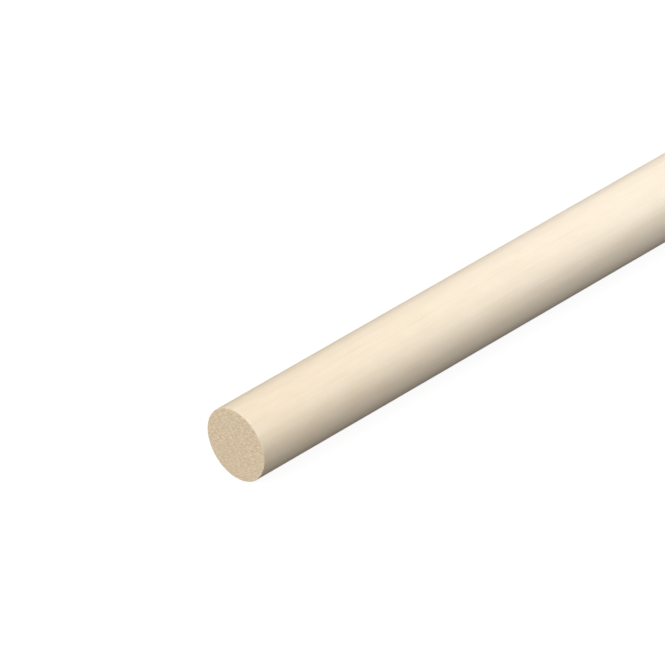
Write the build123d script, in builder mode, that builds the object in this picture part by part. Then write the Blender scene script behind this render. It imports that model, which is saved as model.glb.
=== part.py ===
"""Hardwood dowel: a straight round rod in one length of pale hardwood, sawn square at both ends.

Millimetres. The rod lies on the floor along X, with its middle over the origin and its underside at Z = 0.
"""

import os

from build123d import *

# Driving dimensions
diameter = 25.0  # nominal stock diameter of the round section
length = 900.0  # stock length, from one sawn end to the other
arris_radius = 0.3  # sharp edge rounded off with sandpaper, round each sawn end

# Derived places
radius = diameter / 2
axis_height = radius  # the rod rests on its side
first_end = -length / 2

# Dowel: the round section, carried from the first sawn end to the second, with both arrises eased
with BuildPart() as dowel:
    with BuildSketch(Plane.YZ.offset(first_end)) as section:
        with Locations((0, axis_height)):
            Circle(radius)
    extrude(amount=length)
    sawn_ends = dowel.faces().filter_by(Axis.X)
    fillet(sawn_ends.edges(), radius=arris_radius)

dowel.part.label = "dowel"

os.makedirs("parts", exist_ok=True)
export_step(dowel.part, "parts/dowel.step")

print(f"dowel: {diameter:g} mm round, {length:g} mm long, {dowel.part.volume / 1000:.1f} cm3")
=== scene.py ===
# %% [markdown]
# Hardwood dowel, dressed for its pack shot
#
# The object is one straight length of pale hardwood, turned round, sanded smooth and sawn square. It has no
# joints and no fittings, so everything the eye can find is in its surface: the arris rubbed off each sawn
# end, the saw's scores on the end grain, and the wood itself. This lesson makes that surface with numpy, lays
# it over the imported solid, and gives it one wood that runs right through, so that side and ends agree.

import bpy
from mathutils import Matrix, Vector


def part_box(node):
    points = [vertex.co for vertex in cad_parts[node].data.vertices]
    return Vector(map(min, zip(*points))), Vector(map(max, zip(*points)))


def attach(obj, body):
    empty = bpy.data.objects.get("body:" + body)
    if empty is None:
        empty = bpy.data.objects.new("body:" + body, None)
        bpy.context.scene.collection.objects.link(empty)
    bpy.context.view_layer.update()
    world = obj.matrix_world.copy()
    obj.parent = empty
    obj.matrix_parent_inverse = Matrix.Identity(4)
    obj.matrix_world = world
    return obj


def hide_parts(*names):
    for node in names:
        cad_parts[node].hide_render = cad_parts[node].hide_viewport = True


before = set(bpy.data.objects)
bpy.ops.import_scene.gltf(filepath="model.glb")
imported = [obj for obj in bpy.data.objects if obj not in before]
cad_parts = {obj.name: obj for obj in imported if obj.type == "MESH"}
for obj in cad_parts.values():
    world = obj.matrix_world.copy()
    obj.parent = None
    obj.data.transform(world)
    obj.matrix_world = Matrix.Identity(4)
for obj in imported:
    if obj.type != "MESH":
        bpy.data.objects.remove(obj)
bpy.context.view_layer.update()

# %% [markdown]
# The sizes come from the solid, not from this script. Its box gives the length and the height of the axis.
# The radius is the furthest that any corner lies from that axis, because the solid's flat facets need not
# touch the box. The arris is how far in from the sawn end the section first reaches that full radius. Reading
# them keeps the dressed piece on the solid if someone changes a size there and packs it again.

# %% Read the dowel's sizes
import math

import bpy
import numpy as np
from mathutils import Matrix, Vector

MM = 0.001  # the frame is in metres, and wood is easier to describe in millimetres
FULL_TURN = 2 * math.pi
ROUNDING = 1e-4  # a corner this near to the full radius, as a share of it, lies on it

low, high = (np.array(corner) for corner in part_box("dowel"))
length = high[0] - low[0]
axis_height = (low[2] + high[2]) / 2

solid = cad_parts["dowel"].data
corners = np.empty(3 * len(solid.vertices))
solid.vertices.foreach_get("co", corners)
corners = corners.reshape(-1, 3)
from_axis = np.hypot(corners[:, 1], corners[:, 2] - axis_height)
radius = from_axis.max()
arris = corners[np.isclose(from_axis, radius, rtol=ROUNDING), 0].min() - low[0]
print(f"length {length / MM:.1f} mm, radius {radius / MM:.2f} mm, arris {arris / MM:.2f} mm")

# %% [markdown]
# The dowel's outline is a single line from the middle of one sawn face, round its arris, along the side and
# on to the middle of the other face. Turning that line about the axis makes the whole skin as one grid, with
# no seam to close. A Screw modifier could turn a drawn line, but one worked out here can crowd its points
# where the shape changes: close together on the faces and round the arris, far apart along the plain side.
# Beside the arris the side starts in steps as small as the arris has, so smooth shading keeps the edge crisp.

# %% The outline from one sawn face to the other
FACE_RINGS = 56  # rings of points on each sawn face, enough to carry the saw's scores
ARRIS_STEPS = 8  # segments round each eased edge
SIDE_STEPS = 320  # segments along the side
COLUMNS = 160  # points round the dowel

face_out = np.linspace(0, radius - arris, FACE_RINGS + 1)[1:]
face_in = np.zeros(FACE_RINGS)

# The eased edge is a quarter circle: in by one less the cosine of its turn, out by the sine
edge_turn = np.linspace(0, math.pi / 2, ARRIS_STEPS + 1)[1:]
edge_out = radius - arris + arris * np.sin(edge_turn)
edge_in = arris * (1 - np.cos(edge_turn))

# Stations along the side go by the cosine of equal turns, which crowds them towards the ends
side_turn = np.linspace(0, math.pi, SIDE_STEPS + 1)[1:-1]
side_in = length / 2 - (length / 2 - arris) * np.cos(side_turn)
side_out = np.full(SIDE_STEPS - 1, radius)

# The far end is the near end read backwards, measured in from the other face
outline_in = np.concatenate([face_in, edge_in, side_in, length - edge_in[::-1], length - face_in[::-1]])
outline_out = np.concatenate([face_out, edge_out, side_out, edge_out[::-1], face_out[::-1]])
ROWS = len(outline_in)
print(f"outline of {ROWS} points, to be turned through {COLUMNS} columns")

# %% [markdown]
# How much end grain a spot shows goes from none on the side to all of it on the sawn face, and it changes
# smoothly round the arris. The material will need that number, because end grain drinks in light and looks
# darker and browner than the side of the same wood. A material could find it from the way the surface faces,
# but the bumps would upset that, so it is worked out here, where the outline is at hand.

# %% The grid of rows and columns, and its share of end grain
near_share = np.concatenate([np.ones(FACE_RINGS), np.cos(edge_turn) ** 2])
row_share = np.concatenate([near_share, np.zeros(SIDE_STEPS - 1), near_share[::-1]])

first_column = -math.pi / 2  # the columns start underneath, where a seam in a map is out of sight
columns = first_column + np.arange(COLUMNS) * FULL_TURN / COLUMNS
turn, inward = np.meshgrid(columns, outline_in)
outward = np.broadcast_to(outline_out[:, None], turn.shape)
end_share = np.broadcast_to(row_share[:, None], turn.shape)
print(f"grid {turn.shape}, end grain on {np.mean(end_share > 0.5):.0%} of its points")

# %% [markdown]
# A tree grows a ring a year round its pith, and this dowel was cut from somewhere beside the pith. Counting
# the years between the pith and a spot gives one number that rises smoothly through the wood. Its whole steps
# are the ring lines: arcs on the end faces, and long lines or tongues on the side. A ring pattern in the
# material could draw them too. The count is worked out at every point of the grid instead, so the relief of
# the mesh and the colour of the wood can both follow it.

# %% Count the years of growth
PITH_TURN = math.radians(-26.0)  # which way the pith lies, round the axis from +Y towards +Z
PITH_DISTANCE = 70.0 * MM
PITH_SWAY = 1.2 * MM  # the trunk was not quite straight
SWAY_LENGTH = 410.0 * MM
RING_WIDTH = 2.4 * MM  # one year's growth
LEAN_YEARS = 0.25  # how far a run of lean years puts the count out
LEAN_CYCLE = 3.7  # years from one such run to the next
LATE_START, LATE_FULL, LATE_STOP = 0.5, 0.9, 0.92  # when late wood starts, is all there, and fades, in a year


def years_of_growth(along, across, above):
    """The distance from a pith that sways by a sine of the length, over the width of a ring, plus a slow sine
    of that count, so that lean years and good years differ."""
    sway = PITH_SWAY * np.sin(FULL_TURN * along / SWAY_LENGTH)
    pith_across = PITH_DISTANCE * math.cos(PITH_TURN) + sway
    pith_above = PITH_DISTANCE * math.sin(PITH_TURN) - sway
    count = np.hypot(across - pith_across, above - pith_above) / RING_WIDTH
    return count + LEAN_YEARS * np.sin(FULL_TURN * count / LEAN_CYCLE)


def late_wood(years):
    """How far a spot is into a year's dense late wood: nothing until it starts, then a smooth step up to one,
    times a straight drop to nothing where the next year starts."""
    part = years % 1
    rise = np.clip((part - LATE_START) / (LATE_FULL - LATE_START), 0, 1)
    fade = np.clip((1 - part) / (1 - LATE_STOP), 0, 1)
    return rise * rise * (3 - 2 * rise) * fade


years = years_of_growth(inward, outward * np.cos(turn), outward * np.sin(turn))
print(f"years of growth from {years.min():.1f} to {years.max():.1f} after the pith")

# %% [markdown]
# No real dowel is a perfect cylinder. Wood shrinks more along its rings than across them, so a round section
# dries slightly oval. The mill's feed rollers leave long shallow waves. A saw leaves scores in gentle arcs on
# the faces it cuts, and hard late wood stands a hair proud of the rest. Bump in a material would only shade
# these. Here they are cut into the points themselves, and always inwards, so the piece stays in its solid.

# %% Relief of the side
OVAL = 0.06 * MM  # drying leaves the section this much thinner along the rings
FEED_WAVES = ((17.0 * MM, 1), (23.0 * MM, -2))  # each wave's length, and how often its crests wind round
WAVE_DEPTH = 0.010 * MM
RING_RELIEF = 0.006 * MM  # late wood above early wood


def side_relief():
    """Depth below the full radius: the drying times the squared sine of the turn from the pith, plus the mean
    of waves whose crests wind round the dowel, plus the early wood's hollows."""
    drying = OVAL * np.sin(turn - PITH_TURN) ** 2
    waves = [np.sin(FULL_TURN * inward / wave_length + winding * turn) for wave_length, winding in FEED_WAVES]
    rolled = WAVE_DEPTH * (1 - np.mean(waves, axis=0)) / 2
    return drying + rolled + RING_RELIEF * (1 - late_wood(years))


side_depth = side_relief() * (1 - end_share)
skin_out = outward - side_depth
print(f"relief to {side_depth.max() / MM:.3f} mm deep on the side")

# %% [markdown]
# Both ends were cut by a circular saw, each in a cut of its own, so the blade came in from another side each
# time. Noise could roughen the faces, but it has no direction, and a saw's marks do: its teeth leave arcs
# about the blade's hub, far outside the dowel. Three unlike pitches together keep the arcs from looking drawn
# with compasses.

# %% Relief of the sawn faces
BLADE_RADIUS = 125.0 * MM
SCORE_PITCHES = (1.1 * MM, 1.8 * MM, 3.0 * MM)
SCORE_DEPTH = 0.030 * MM
NEAR_BLADE, FAR_BLADE = math.radians(60.0), math.radians(126.0)  # which way the hub lies, as for the pith


def face_relief(blade_turn):
    """Depth below a sawn face: the mean of sines, of unlike pitch, of the distance from the blade's hub, plus
    the early wood's hollows."""
    across = outward * np.cos(turn) - BLADE_RADIUS * math.cos(blade_turn)
    above = outward * np.sin(turn) - BLADE_RADIUS * math.sin(blade_turn)
    from_hub = np.hypot(across, above)
    scores = np.mean([np.sin(FULL_TURN * from_hub / pitch) for pitch in SCORE_PITCHES], axis=0)
    return SCORE_DEPTH * (1 - scores) / 2 + RING_RELIEF * (1 - late_wood(years))


is_far = inward > length / 2
face_depth = end_share * np.where(is_far, face_relief(FAR_BLADE), face_relief(NEAR_BLADE))
skin_in = inward + np.where(is_far, -face_depth, face_depth)
print(f"relief to {face_depth.max() / MM:.3f} mm deep on the faces")

# %% [markdown]
# Now the grid becomes a mesh. Squares join each row of points to the next, the last column goes back to the
# first, and a fan of triangles closes each pole. Seen from outside, the corners of every face go round
# anticlockwise, which is what makes it look outwards. A closed skin shows whether that came out right: added
# up over its faces, the volume is then positive, and near that of a plain rod.

# %% The dowel's mesh
points = np.stack([low[0] + skin_in, skin_out * np.cos(turn), axis_height + skin_out * np.sin(turn)], axis=-1)
poles = [(low[0] + skin_in[end].mean(), 0, axis_height) for end in (0, -1)]
all_points = np.vstack([points.reshape(-1, 3), poles])
NEAR_POLE, FAR_POLE = ROWS * COLUMNS, ROWS * COLUMNS + 1

row, column = (part.ravel() for part in np.mgrid[0:ROWS - 1, 0:COLUMNS])
square_rows = np.stack([row, row, row + 1, row + 1], axis=-1)
square_columns = np.stack([column, column + 1, column + 1, column], axis=-1)
squares = square_rows * COLUMNS + square_columns % COLUMNS

step = np.arange(COLUMNS)
after = (step + 1) % COLUMNS
last_row = (ROWS - 1) * COLUMNS
near_fan = np.stack([np.full(COLUMNS, NEAR_POLE), after, step], axis=-1)
far_fan = np.stack([np.full(COLUMNS, FAR_POLE), last_row + step, last_row + after], axis=-1)

mesh = bpy.data.meshes.new("dowel_turned")
mesh.from_pydata(all_points.tolist(), [], squares.tolist() + near_fan.tolist() + far_fan.tolist())
mesh.polygons.foreach_set("use_smooth", np.ones(len(mesh.polygons), dtype=bool))

triangles = np.concatenate([squares[:, [0, 1, 2]], squares[:, [0, 2, 3]], near_fan, far_fan])
first, second, third = (all_points[triangles[:, corner]] for corner in range(3))
volume = np.sum(first * np.cross(second, third)) / 6  # each triangle makes a tetrahedron with the origin
plain_rod = math.pi * radius ** 2 * length
print(f"dowel_turned: {len(all_points)} points, {len(triangles)} triangles, "
      f"volume {volume / MM ** 3:.0f} mm3, plain rod {plain_rod / MM ** 3:.0f} mm3")

# %% [markdown]
# Two numbers go with each point for the material to read: the share of end grain and the years of growth.
# Painted colours could carry them, but they are plain numbers, so they are stored as attributes of the mesh,
# and Blender carries them smoothly across every face.

# %% Attributes for the material
pole_years = years_of_growth(np.array([0, length]), 0.0, 0.0)
for name, values, at_poles in (("end_grain", end_share, [1, 1]), ("growth", years, pole_years)):
    attribute = mesh.attributes.new(name, "FLOAT", "POINT")
    attribute.data.foreach_set("value", np.append(values.ravel(), at_poles))
    print(f"attribute {name}: {values.min():.2f} to {values.max():.2f}")

# %% [markdown]
# The exported part carries its colours in one square picture, and a long thin rod fits a square badly. So the
# side is cut into three lengths, laid one above the other across the full width. Blender could unwrap it by
# itself, but it would lay the rod out whole, and most of the picture would stay empty.

# %% The side's three strips in the map for baking
MAP_SIDE = 1024.0  # pixels
MAP_MARGIN = 5.0
END_PATCH = 200.0  # pixels across one end, kept free above the strips
STRIPS = 3

first_side_row = FACE_RINGS + ARRIS_STEPS - 1
last_side_row = ROWS - 1 - first_side_row
cuts = np.searchsorted(outline_in, length * np.arange(1, STRIPS) / STRIPS)
strip_rows = np.concatenate([[first_side_row], cuts, [last_side_row]])
strip_lengths = np.diff(outline_in[strip_rows])
strip = np.clip(np.searchsorted(strip_rows, row, side="right") - 1, 0, STRIPS - 1)[:, None]

strip_width = MAP_SIDE - 2 * MAP_MARGIN
strip_height = (MAP_SIDE - END_PATCH - (STRIPS + 2) * MAP_MARGIN) / STRIPS
along_strip = (outline_in[square_rows] - outline_in[strip_rows[strip]]) / strip_lengths.max()
side_map = np.stack([
    MAP_MARGIN + along_strip * strip_width,
    MAP_MARGIN + strip * (strip_height + MAP_MARGIN) + square_columns / COLUMNS * strip_height,
], axis=-1)
print(f"side mapped at {strip_lengths.max() / MM / strip_width:.2f} mm a pixel along, "
      f"{FULL_TURN * radius / MM / strip_height:.2f} round")

# %% [markdown]
# Each end, with its arris, goes into a round patch above the strips: the way over the skin from the pole sets
# how far out a point lies, so nothing is stretched. The ends have the finest pattern of the whole dowel, so
# their patches get more than twice the scale of the side.

# %% The round patches of the two ends
skin_step = np.hypot(np.diff(outline_in, prepend=0), np.diff(outline_out, prepend=0))
from_pole = np.cumsum(skin_step)
patch_scale = END_PATCH / 2 / from_pole[first_side_row]
patch_middle = np.array([MAP_MARGIN + END_PATCH / 2, MAP_SIDE - MAP_MARGIN - END_PATCH / 2])
patch_step = np.array([END_PATCH + MAP_MARGIN, 0])


def patch(reach, column_number, end):
    """Places in an end's round patch: the way over the skin from the pole, turned by the column."""
    angle = first_column + column_number * FULL_TURN / COLUMNS
    spoke = np.stack([np.cos(angle), np.sin(angle)], axis=-1)
    return patch_middle + end * patch_step + patch_scale * reach[..., None] * spoke


near_map = patch(from_pole[square_rows], square_columns, 0)
far_map = patch(from_pole[ROWS - 1 - square_rows], square_columns, 1)
is_near_end = (row < first_side_row)[:, None, None]
is_far_end = (row >= last_side_row)[:, None, None]
square_map = np.where(is_near_end, near_map, np.where(is_far_end, far_map, side_map))

fan_reach = np.tile([0, from_pole[0], from_pole[0]], (COLUMNS, 1))
near_fan_map = patch(fan_reach, np.stack([step, step + 1, step], axis=-1), 0)
far_fan_map = patch(fan_reach, np.stack([step, step, step + 1], axis=-1), 1)

bake_map = mesh.uv_layers.new(name="OFBake")
places = np.concatenate([square_map.reshape(-1, 2), near_fan_map.reshape(-1, 2), far_fan_map.reshape(-1, 2)])
bake_map.data.foreach_set("uv", (places / MAP_SIDE).ravel())
mesh.update()
print(f"map from {places.min():.0f} to {places.max():.0f} pixels of {MAP_SIDE:.0f}, "
      f"ends at {1 / patch_scale / MM:.2f} mm a pixel")

# %% [markdown]
# The piece now stands in for the solid. It moves with the only body of this part.

# %% Tie the piece to the frame
dowel = bpy.data.objects.new("dowel_turned", mesh)
bpy.context.scene.collection.objects.link(dowel)
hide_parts("dowel")
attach(dowel, "root")
print("dowel_turned stands for the node dowel, on the body root")

# %% [markdown]
# The wood is a pale, close-grained birch, turned and sanded, with no oil or varnish. Its pores are too fine
# to see one by one, so the side reads as an even cream with the faintest streaks along it. The ends are cut
# across the fibres. Light sinks into the open cells there, so they look tan and speckled, and rays cross them
# as short pale and dark dashes that point at the pith. An image could be wrapped round, but it would not meet
# at the arris. A pattern that fills the wood does, because both surfaces cut through the same fibres.

# %% One function for colours and one for nodes
def linear(code):
    """An sRGB hex colour as the linear red, green, blue and alpha that Blender works in."""
    values = np.array([int(code[i:i + 2], 16) for i in (1, 3, 5)]) / 255
    light = np.where(values <= 0.04045, values / 12.92, ((values + 0.055) / 1.055) ** 2.4)
    return (*light.tolist(), 1.0)


def add_node(tree, kind, inputs=None, **settings):
    """Adds a node, gives it its settings, and fills its inputs: a socket is linked, and a value is set."""
    node = tree.nodes.new(kind)
    for name, value in settings.items():
        setattr(node, name, value)
    for name, value in (inputs or {}).items():
        if isinstance(value, bpy.types.NodeSocket):
            tree.links.new(value, node.inputs[name])
        else:
            node.inputs[name].default_value = value
    return node


print("a mid grey, #808080, in linear light:", [round(part, 3) for part in linear("#808080")])

# %% [markdown]
# Wood has three directions of its own: along the fibres, out from the pith, and along the rings. A pattern
# that keeps to them looks like wood from every side. Object coordinates give each spot its place in metres,
# and one Mapping node then moves the origin to the dowel's axis, turns it towards the pith, tips it by the
# slope of the fibres and counts in millimetres. An empty, turned the same way, could do this in Blender, but
# the exported part would lose it.

# %% The wood's own axes
FIBRE_SLOPE = math.radians(0.5)  # the saw never runs quite along the fibres

birch = bpy.data.materials.new("birch_turned_and_sanded")
birch.use_nodes = True
tree = birch.node_tree
tree.nodes.clear()

# X along the fibres, Y towards the pith, Z along the rings
place = add_node(tree, "ShaderNodeTexCoord").outputs["Object"]
wood = add_node(tree, "ShaderNodeMapping", {
    "Vector": place, "Location": (0, 0, axis_height), "Rotation": (PITH_TURN, 0, FIBRE_SLOPE),
    "Scale": (MM, MM, MM)}, vector_type="TEXTURE").outputs["Vector"]
print("wood axes turned", round(math.degrees(PITH_TURN)), "degrees to the pith")

# %% [markdown]
# Five patterns make the figure. Each is a noise whose space is squeezed by the size of one of its features,
# in millimetres along the fibres, towards the pith and along the rings, so a real measure sets its scale. In
# birch the fibres' streaks run on for a hand's breadth, while a ray is a thin ribbon that stands on edge and
# points at the pith. Sanding marks run round the dowel, the way the belt did. Pores are about a tenth of a
# millimetre across, and rays are as thin. Both are drawn two to four times as coarse, or they would vanish
# between the pixels of the picture.

# %% Fibres, mottle, rays, sanding marks and pores
NOISE, CELLS = "ShaderNodeTexNoise", "ShaderNodeTexVoronoi"
patterns = {}
for name, kind, sizes, inputs, output in (
    ("fibres", NOISE, (60.0, 0.8, 0.8), {"Detail": 3.0, "Roughness": 0.6}, "Fac"),
    ("mottle", NOISE, (9.0, 3.0, 3.0), {"Detail": 1.0, "Roughness": 0.5}, "Fac"),
    ("rays", NOISE, (1.6, 1.3, 0.28), {"Detail": 1.0, "Roughness": 0.5}, "Fac"),
    ("sanding", NOISE, (0.35, 8.0, 8.0), {"Detail": 2.0, "Roughness": 0.6}, "Fac"),
    ("from_pore", CELLS, (25.0, 0.5, 0.5), {}, "Distance"),
):
    squeezed = add_node(tree, "ShaderNodeMapping", {"Vector": wood, "Scale": [1 / size for size in sizes]})
    made = add_node(tree, kind, {"Vector": squeezed.outputs["Vector"], "Scale": 1.0, **inputs})
    patterns[name] = made.outputs[output]
    print(f"{name}: {sizes[0]:g} x {sizes[1]:g} x {sizes[2]:g} mm")

# %% [markdown]
# Late wood is denser than early wood and a shade darker. The years of growth say where it lies, by the same
# limits that shaped the relief, so colour and relief agree. A pore is the middle of a cell of the last
# pattern, and fades towards the cell's edge. The share of end grain joins the patterns as it is.

# %% Late wood, pores and end grain
PORE_CORE, PORE_EDGE = 0.15, 0.42  # all pore within the first, none beyond the second, in sizes of a cell

growth = add_node(tree, "ShaderNodeAttribute", attribute_name="growth").outputs["Fac"]
year_part = add_node(tree, "ShaderNodeMath", {0: growth}, operation="FRACT").outputs["Value"]
late_rise = add_node(tree, "ShaderNodeMapRange", {
    "Value": year_part, "From Min": LATE_START, "From Max": LATE_FULL}, interpolation_type="SMOOTHSTEP")
late_fade = add_node(tree, "ShaderNodeMapRange", {
    "Value": year_part, "From Min": LATE_STOP, "From Max": 1.0, "To Min": 1.0, "To Max": 0.0})
patterns["late"] = add_node(tree, "ShaderNodeMath", {
    0: late_rise.outputs["Result"], 1: late_fade.outputs["Result"]}, operation="MULTIPLY").outputs["Value"]
patterns["pores"] = add_node(tree, "ShaderNodeMapRange", {
    "Value": patterns["from_pore"], "From Min": PORE_CORE, "From Max": PORE_EDGE,
    "To Min": 1.0, "To Max": 0.0}, interpolation_type="SMOOTHSTEP").outputs["Result"]
patterns["end_grain"] = add_node(tree, "ShaderNodeAttribute", attribute_name="end_grain").outputs["Fac"]
print("patterns:", ", ".join(patterns))

# %% [markdown]
# Each pattern adds its share to four sums: how brown the side is, how brown the ends are, how rough the
# surface is and how high its finest bumps stand. The side and the ends weigh the patterns differently: a ray
# is a faint fleck on the side and a clear dash on the end. A row of the table below holds what a sum starts
# from and the weight of each pattern in it, so the finish can be tuned in one place. A sum costs one Multiply
# Add node for each of its patterns.

# %% Weigh the patterns
sums = {}
for name, start, weights in (
    ("side_brown", 0.0, {"fibres": 0.35, "mottle": 0.4, "rays": 0.2, "late": 0.08, "pores": 0.2}),
    ("end_brown", -0.71, {"fibres": 0.15, "rays": 2.2, "late": 0.1, "pores": 0.4}),
    ("roughness", 0.54, {"fibres": 0.12, "end_grain": 0.2}),
    ("height", 0.0, {"fibres": 0.5, "sanding": 0.25, "rays": 0.25, "pores": -0.4}),
):
    total = start
    for pattern, weight in weights.items():
        total = add_node(tree, "ShaderNodeMath", {
            0: patterns[pattern], 1: weight, 2: total}, operation="MULTIPLY_ADD").outputs["Value"]
    sums[name] = total
    print(f"{name}: {start:g} and", ", ".join(f"{weight:g} {pattern}" for pattern, weight in weights.items()))

# %% [markdown]
# The colours are the wood's own, pale and brown, for the side and for the ends. Lengths of dowel wait in a
# rack with their ends to the light, and wood yellows in light, so the side gets slightly darker and yellower
# towards each end. Round the arris the side's colour runs into the end's by the share of end grain.

# %% Colours of the side and the ends
YELLOWED = 170.0  # millimetres from each end
half_length = length / 2 / MM

along_wood = add_node(tree, "ShaderNodeSeparateXYZ", {"Vector": wood}).outputs["X"]
from_middle = add_node(tree, "ShaderNodeMath", {0: along_wood}, operation="ABSOLUTE").outputs["Value"]
yellowing = add_node(tree, "ShaderNodeMapRange", {
    "Value": from_middle, "From Min": half_length - YELLOWED, "From Max": half_length}).outputs["Result"]
fresh_side = add_node(tree, "ShaderNodeMix", {
    "Factor": sums["side_brown"], "A": linear("#EEE3D2"), "B": linear("#DECFB8")}, data_type="RGBA")
side_colour = add_node(tree, "ShaderNodeMix", {
    "Factor": yellowing, "A": fresh_side.outputs["Result"], "B": linear("#F6F2EB")},
    data_type="RGBA", blend_type="MULTIPLY")
end_colour = add_node(tree, "ShaderNodeMix", {
    "Factor": sums["end_brown"], "A": linear("#DCCBB2"), "B": linear("#C0AB8B")}, data_type="RGBA")
colour = add_node(tree, "ShaderNodeMix", {
    "Factor": patterns["end_grain"], "A": side_colour.outputs["Result"], "B": end_colour.outputs["Result"]},
    data_type="RGBA")
print(f"the wood yellows over {YELLOWED:g} mm from each end")

# %% [markdown]
# Bare sanded wood has a soft sheen: its fibres lie open, but sanding has flattened them. A refractive index
# of 1.5 and a roughness of about 0.6 are usual for it, and its specular level is under the usual half,
# because the open fibres trap part of the gloss. A clear coat would shine more, but it would look like
# varnish, and this wood is bare. Open end grain scatters light far more, so it is rougher. The fine bump
# stands for fibres and sanding marks that are hundredths of a millimetre high.

# %% Sheen and fine bump
FINE_RELIEF = 0.02 * MM

bump = add_node(tree, "ShaderNodeBump", {"Height": sums["height"], "Strength": 0.5, "Distance": FINE_RELIEF})
shader = add_node(tree, "ShaderNodeBsdfPrincipled", {
    "Base Color": colour.outputs["Result"], "Roughness": sums["roughness"], "IOR": 1.5,
    "Specular IOR Level": 0.35, "Normal": bump.outputs["Normal"]})
add_node(tree, "ShaderNodeOutputMaterial", {"Surface": shader.outputs["BSDF"]})
mesh.materials.append(birch)
print(f"{birch.name}: {len(tree.nodes)} nodes")

# %% [markdown]
# The camera stands where the pack shot's did: an eighth of a turn off the dowel's end, looking down at about
# thirty-five degrees. It is far off with a long lens, so the dowel's two edges stay nearly parallel. Its
# place follows from one measure: where the middle of the near sawn face falls in the picture.

# %% The camera
IMAGE_SIDE = 665
NEAR_FACE_PIXEL = np.array([235.7, 445.0])  # counted from the picture's top left corner
AZIMUTH, ELEVATION = math.radians(-45.0), math.radians(34.8)
LENS, SENSOR = 406.9, 36.0  # millimetres
DISTANCE = 2.294  # metres from the lens to the near sawn face

level = math.cos(ELEVATION)
back = np.array([math.sin(AZIMUTH) * level, -math.cos(AZIMUTH) * level, math.sin(ELEVATION)])
right = np.array([math.cos(AZIMUTH), math.sin(AZIMUTH), 0])
up = np.cross(back, right)
metres_a_pixel = DISTANCE * SENSOR / LENS / IMAGE_SIDE
off_middle = (NEAR_FACE_PIXEL - IMAGE_SIDE / 2) * metres_a_pixel
near_face = np.array([low[0], 0, axis_height])
eye = near_face + back * DISTANCE - right * off_middle[0] + up * off_middle[1]

camera = bpy.data.objects.new("camera", bpy.data.cameras.new("camera"))
camera.data.lens, camera.data.sensor_width = LENS, SENSOR
camera.matrix_world = Matrix([*np.stack([right, up, back, eye], axis=-1).tolist(), [0, 0, 0, 1]])
bpy.context.scene.collection.objects.link(camera)
bpy.context.scene.camera = camera
print("camera at", eye.round(3), "metres")

# %% [markdown]
# The light is plain and soft. Sun lamps with a wide angle behave as huge softboxes far away: their edges are
# soft, and they light the near end and the far end alike. The key hangs over the near end, the front light
# comes over the side that the camera sees, and a low kicker from beyond keeps the back and the far end from
# going dark. Each lamp's place is a turn round the dowel, from +Y over the top, and a lean to the near end.

# %% Soft lights
for name, strength, turn_degrees, lean_degrees, spread_degrees in (
    ("softbox_key", 3.83, 85, 52, 30),
    ("softbox_front", 2.41, 136, -36, 40),
    ("softbox_kicker", 1.26, 20, -60, 40),
):
    turned, leant = math.radians(turn_degrees), math.radians(lean_degrees)
    round_axis = np.array([0, math.cos(turned), math.sin(turned)])
    towards = Vector(math.cos(leant) * round_axis - math.sin(leant) * np.array([1, 0, 0]))
    lamp = bpy.data.lights.new(name, "SUN")
    lamp.energy, lamp.angle = strength, math.radians(spread_degrees)
    softbox = bpy.data.objects.new(name, lamp)
    softbox.rotation_euler = towards.to_track_quat("Z", "Y").to_euler()
    bpy.context.scene.collection.objects.link(softbox)
    print(f"{name}: {strength:g} W/m2 from {np.round(towards, 2)}")

# %% [markdown]
# The floor is a sheet of white paper that fills every view. To the camera it also glows, as paper lit from
# below does, which keeps it white and leaves only a breath of shadow by the dowel. To the dowel it is a mid
# grey, so it throws little light back up and the underside stays in shade. The world is white to the camera
# too, and dark to the dowel.

# %% Floor and surroundings
FLOOR_HALF = 40.0  # metres

floor_corners = FLOOR_HALF * np.array([[-1, -1], [1, -1], [1, 1], [-1, 1]])
floor_points = np.column_stack([floor_corners, np.full(len(floor_corners), axis_height - radius)])
floor_mesh = bpy.data.meshes.new("floor")
floor_mesh.from_pydata(floor_points.tolist(), [], [(0, 1, 2, 3)])
floor = bpy.data.objects.new("floor", floor_mesh)
bpy.context.scene.collection.objects.link(floor)

paper = bpy.data.materials.new("paper_white_matt")
paper.use_nodes = True
paper.node_tree.nodes.clear()
seen = add_node(paper.node_tree, "ShaderNodeLightPath").outputs["Is Camera Ray"]
sheet = add_node(paper.node_tree, "ShaderNodeBsdfPrincipled", {
    "Base Color": linear("#696969"), "Roughness": 0.9, "Specular IOR Level": 0.0,
    "Emission Color": linear("#F4F4F4"), "Emission Strength": seen})
add_node(paper.node_tree, "ShaderNodeOutputMaterial", {"Surface": sheet.outputs["BSDF"]})
floor_mesh.materials.append(paper)

world = bpy.data.worlds.new("studio")
bpy.context.scene.world = world
world.use_nodes = True
world.node_tree.nodes.clear()
seen = add_node(world.node_tree, "ShaderNodeLightPath").outputs["Is Camera Ray"]
wall = add_node(world.node_tree, "ShaderNodeBackground", {"Color": linear("#FFFFFF"), "Strength": seen})
add_node(world.node_tree, "ShaderNodeOutputWorld", {"Surface": wall.outputs["Background"]})
bpy.context.scene.view_settings.view_transform = "Standard"  # colours come out as the hex values say
print("floor", floor.dimensions[:2], "metres, white to the camera and grey to the dowel")
